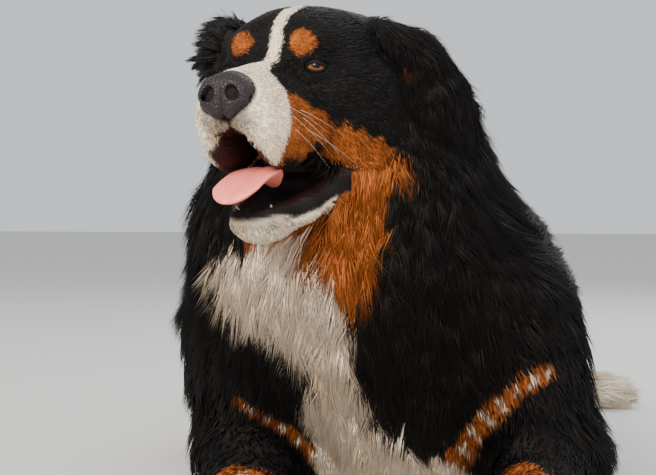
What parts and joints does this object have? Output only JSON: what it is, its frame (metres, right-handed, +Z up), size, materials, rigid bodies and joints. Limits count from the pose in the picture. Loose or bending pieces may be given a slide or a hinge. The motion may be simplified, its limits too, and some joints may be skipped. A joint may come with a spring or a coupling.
{
  "type": "bernese mountain dog",
  "caption": "Life-size Bernese mountain dog lying on its belly with head raised and turned, mouth open and tongue out.",
  "frame": {"origin": "on the floor under the trunk, in the middle of the flat on which the belly rests", "axes": "+Z up; the dog faces -Y with its tail towards +Y; +X to the left side of the dog"},
  "size_m": [0.5489, 1.2791, 0.4999],
  "materials": {
    "black_coat": "long, slightly wavy jet-black fur with a soft sheen",
    "tan_coat": "rich rust-tan fur",
    "white_coat": "soft white to cream fur",
    "nose_leather": "pebbled, slightly moist black skin of the nose and lips",
    "eye": "wet brown iris and dark pupil under a clear cornea",
    "tongue": "moist pink tongue and gums",
    "tooth": "ivory tooth enamel",
    "claw": "dark horn of the claws"
  },
  "bodies": {
    "root": {"head": "black_coat", "ear_left": "black_coat", "ear_right": "black_coat", "neck": "black_coat", "chest": "black_coat", "loin": "black_coat", "rump": "black_coat", "upper_arm_left": "black_coat", "upper_arm_right": "black_coat", "thigh_left": "black_coat", "thigh_right": "black_coat", "tail_root": "black_coat", "tail_plume": "black_coat", "forearm_left": "tan_coat", "forearm_right": "tan_coat", "shank_left": "tan_coat", "shank_right": "tan_coat", "hind_foot_left": "tan_coat", "hind_foot_right": "tan_coat", "lower_jaw": "white_coat", "fore_paw_left": "white_coat", "fore_paw_right": "white_coat", "hind_paw_left": "white_coat", "hind_paw_right": "white_coat", "nose_leather": "nose_leather", "eye_left": "eye", "eye_right": "eye", "tongue": "tongue"}
  },
  "joints": []
}
